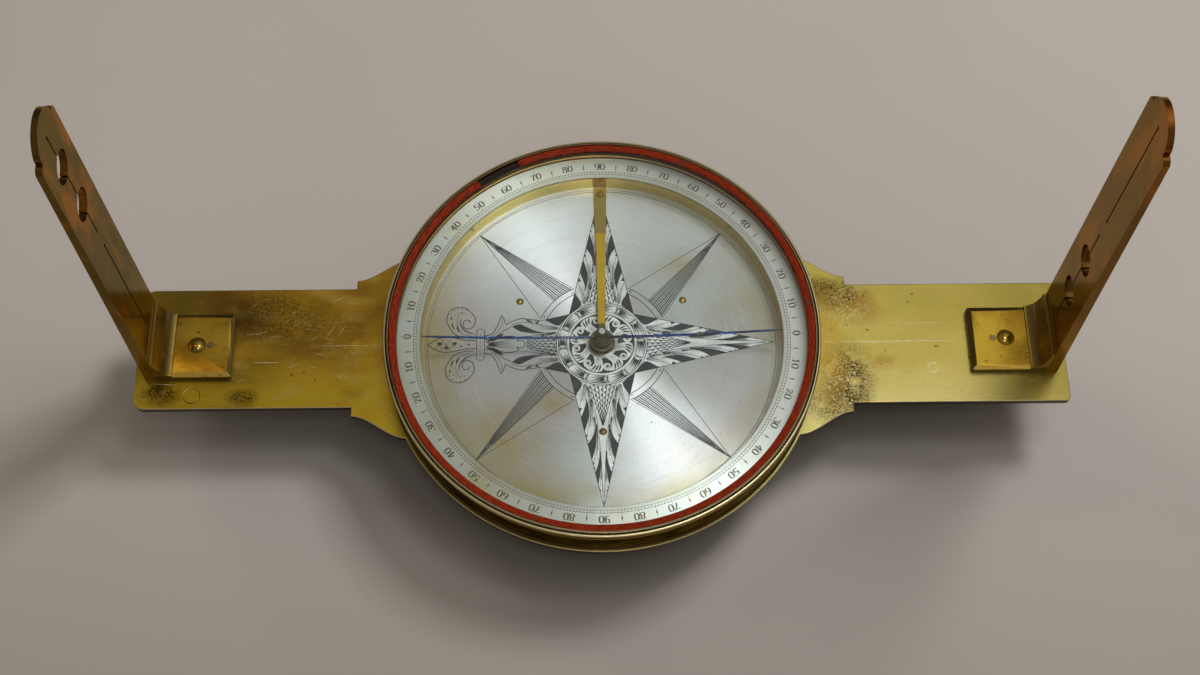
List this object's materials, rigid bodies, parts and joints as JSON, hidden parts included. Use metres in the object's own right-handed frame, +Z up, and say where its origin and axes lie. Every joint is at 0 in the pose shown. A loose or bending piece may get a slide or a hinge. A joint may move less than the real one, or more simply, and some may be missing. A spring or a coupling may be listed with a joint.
{
  "type": "surveyors compass",
  "caption": "Surveyor's compass: brass plate with a glazed compass box, bowed edge-bar needle and lifter, slit-and-hole sights and a staff socket below.",
  "frame": {"origin": "centre of the staff socket's lower face, on the needle's pivot axis", "axes": "+Z up along the pivot and socket axis; -X towards the north sight; +Y towards the far side, where the lifter lever lies"},
  "size_m": [0.356, 0.1666, 0.195],
  "materials": {
    "plate_brass": "aged, mottled patina",
    "box_brass": "polished, worn",
    "screw_brass": "turned",
    "glass": "clear",
    "red_ring": "brick-red lacquer",
    "silvered_dial": "silvered and brushed",
    "silvered_ring": "silvered and brushed",
    "cap_bronze": "dark bronze",
    "pivot_steel": "hardened and polished",
    "blued_steel": "heat-blued",
    "dip_wire": "dark wire",
    "agate": "polished stone",
    "lever_brass": "polished",
    "vane_brass": "aged",
    "foot_brass": "polished, stained",
    "socket_brass": "turned"
  },
  "bodies": {
    "plate_assembly": {"main_plate": "plate_brass", "plate_plug": "plate_brass", "box_wall": "box_brass", "box_screws": "screw_brass", "cover_glass": "glass", "glass_retaining_ring": "red_ring", "dial_plate": "silvered_dial", "dial_rivets": "screw_brass", "graduated_ring": "silvered_ring", "pivot_base": "cap_bronze", "pivot_point": "pivot_steel", "lifter_lever_screw": "screw_brass", "staff_socket": "socket_brass", "socket_screws": "screw_brass"},
    "lifter": {"lifter_lever": "lever_brass"},
    "lifter_screw": {"lifter_screw_shank": "screw_brass"},
    "lifter_screw_knob": {"lifter_screw_head": "screw_brass"},
    "needle_bearing": {"cap_jewel": "agate"},
    "needle": {"needle_bar": "blued_steel", "needle_dip_weight": "dip_wire", "needle_cap": "cap_bronze", "cap_collar": "cap_bronze"},
    "north_sight": {"north_sight_vane": "vane_brass", "north_vane_foot": "foot_brass", "north_steady_pin": "screw_brass"},
    "north_foot_screw": {"north_foot_screw_shank": "screw_brass"},
    "north_foot_screw_knob": {"north_foot_screw_head": "screw_brass"},
    "south_sight": {"south_sight_vane": "vane_brass", "south_vane_foot": "foot_brass", "south_steady_pin": "screw_brass"},
    "south_foot_screw": {"south_foot_screw_shank": "screw_brass"},
    "south_foot_screw_knob": {"south_foot_screw_head": "screw_brass"},
    "clamp_screw": {"clamp_screw_shank": "screw_brass"},
    "clamp_screw_knob": {"clamp_screw_head": "screw_brass"}
  },
  "joints": [
    {"name": "needle_lift", "type": "slide", "parent": "plate_assembly", "child": "needle_bearing", "axis": [0, 0, 1], "range_m": [0, 0.00052]},
    {"name": "needle_spin", "type": "hinge", "parent": "needle_bearing", "child": "needle", "pos_m": [0, 0, 0.044], "axis": [0, 0, 1], "continuous": true},
    {"name": "lifter_flex", "type": "hinge", "parent": "plate_assembly", "child": "lifter", "pos_m": [0, 0.0685, 0.03382], "axis": [-1, 0, 0], "range_deg": [0, 0.7027]},
    {"name": "lifter_screw_rise", "type": "slide", "parent": "plate_assembly", "child": "lifter_screw", "axis": [0, 0, 1], "range_m": [0, 0.00025]},
    {"name": "lifter_screw_turn", "type": "hinge", "parent": "lifter_screw", "child": "lifter_screw_knob", "pos_m": [0, 0.04811, 0.028], "axis": [0, 0, 1], "range_deg": [0, 180]},
    {"name": "north_sight_lift", "type": "slide", "parent": "plate_assembly", "child": "north_sight", "axis": [0, 0, 1], "range_m": [0, 0.012]},
    {"name": "north_screw_draw", "type": "slide", "parent": "plate_assembly", "child": "north_foot_screw", "axis": [0, 0, -1], "range_m": [0, 0.005]},
    {"name": "north_screw_turn", "type": "hinge", "parent": "north_foot_screw", "child": "north_foot_screw_knob", "pos_m": [-0.155, 0, 0.027], "axis": [0, 0, -1], "range_deg": [0, 1800]},
    {"name": "south_sight_lift", "type": "slide", "parent": "plate_assembly", "child": "south_sight", "axis": [0, 0, 1], "range_m": [0, 0.012]},
    {"name": "south_screw_draw", "type": "slide", "parent": "plate_assembly", "child": "south_foot_screw", "axis": [0, 0, -1], "range_m": [0, 0.005]},
    {"name": "south_screw_turn", "type": "hinge", "parent": "south_foot_screw", "child": "south_foot_screw_knob", "pos_m": [0.155, 0, 0.027], "axis": [0, 0, -1], "range_deg": [0, 1800]},
    {"name": "clamp_screw_advance", "type": "slide", "parent": "plate_assembly", "child": "clamp_screw", "axis": [0, -1, 0], "range_m": [-0.002, 0.0015]},
    {"name": "clamp_screw_turn", "type": "hinge", "parent": "clamp_screw", "child": "clamp_screw_knob", "pos_m": [0, 0.024, 0.013], "axis": [0, -1, 0], "range_deg": [-720, 540]}
  ],
  "couplings": [
    {"joint": "lifter_screw_rise", "follows": "lifter_screw_turn", "m_per_rad": 0.00007957},
    {"joint": "lifter_flex", "follows": "lifter_screw_turn", "ratio": 0.0039033},
    {"joint": "needle_lift", "follows": "lifter_screw_turn", "m_per_rad": 0.00016552},
    {"joint": "north_screw_draw", "follows": "north_screw_turn", "m_per_rad": 0.00015915},
    {"joint": "south_screw_draw", "follows": "south_screw_turn", "m_per_rad": 0.00015915},
    {"joint": "clamp_screw_advance", "follows": "clamp_screw_turn", "m_per_rad": 0.00015915}
  ]
}
